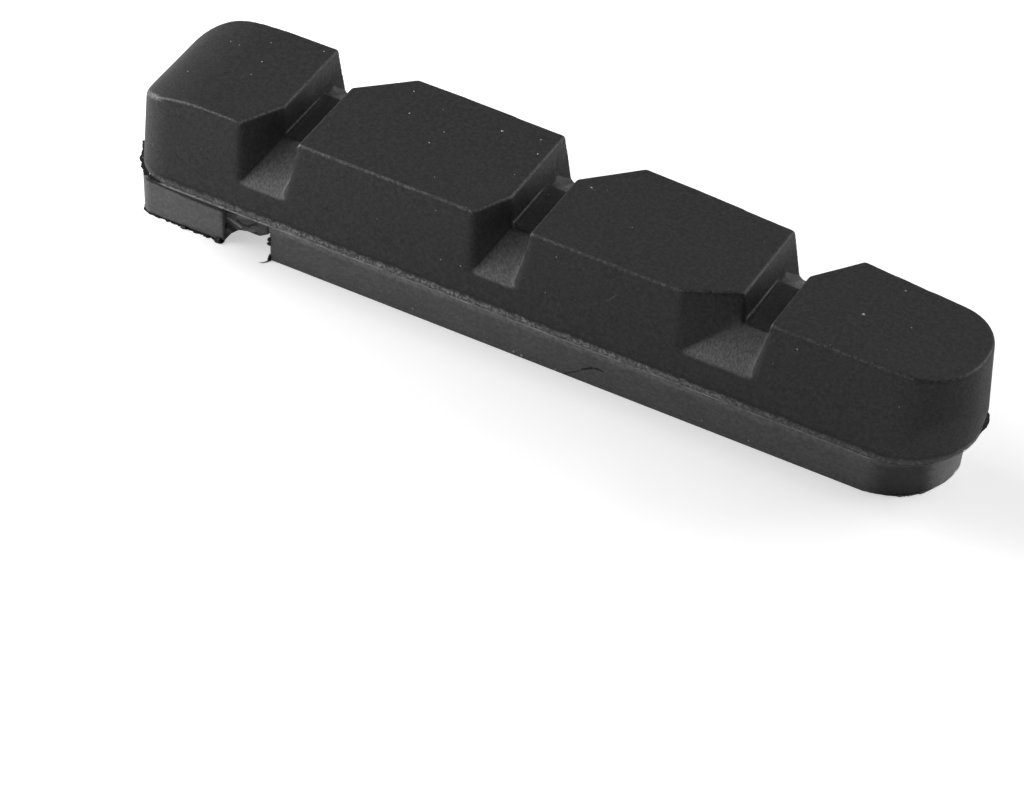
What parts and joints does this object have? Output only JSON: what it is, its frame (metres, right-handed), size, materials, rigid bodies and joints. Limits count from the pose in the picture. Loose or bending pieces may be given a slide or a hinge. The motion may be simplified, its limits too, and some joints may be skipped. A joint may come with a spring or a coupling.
{
  "type": "bicycle rim brake pad insert",
  "caption": "Long black rubber rim brake pad insert with flared drainage grooves across its friction face and an undercut rail with a pin notch that slides into a holder.",
  "frame": {"origin": "middle of the rail's underside: half the pad's length and half its width over the shoulder, at the height of the rail's underside", "axes": "+X from the square end to the round end, +Y from the straight side to the bowed side, +Z from the rail to the friction face"},
  "size_m": [0.0699, 0.0124, 0.0141],
  "materials": {
    "rubber": "matt moulded rubber with fine grain, torn flash and a little dust"
  },
  "bodies": {
    "root": {"brake_pad": "rubber"}
  },
  "joints": []
}
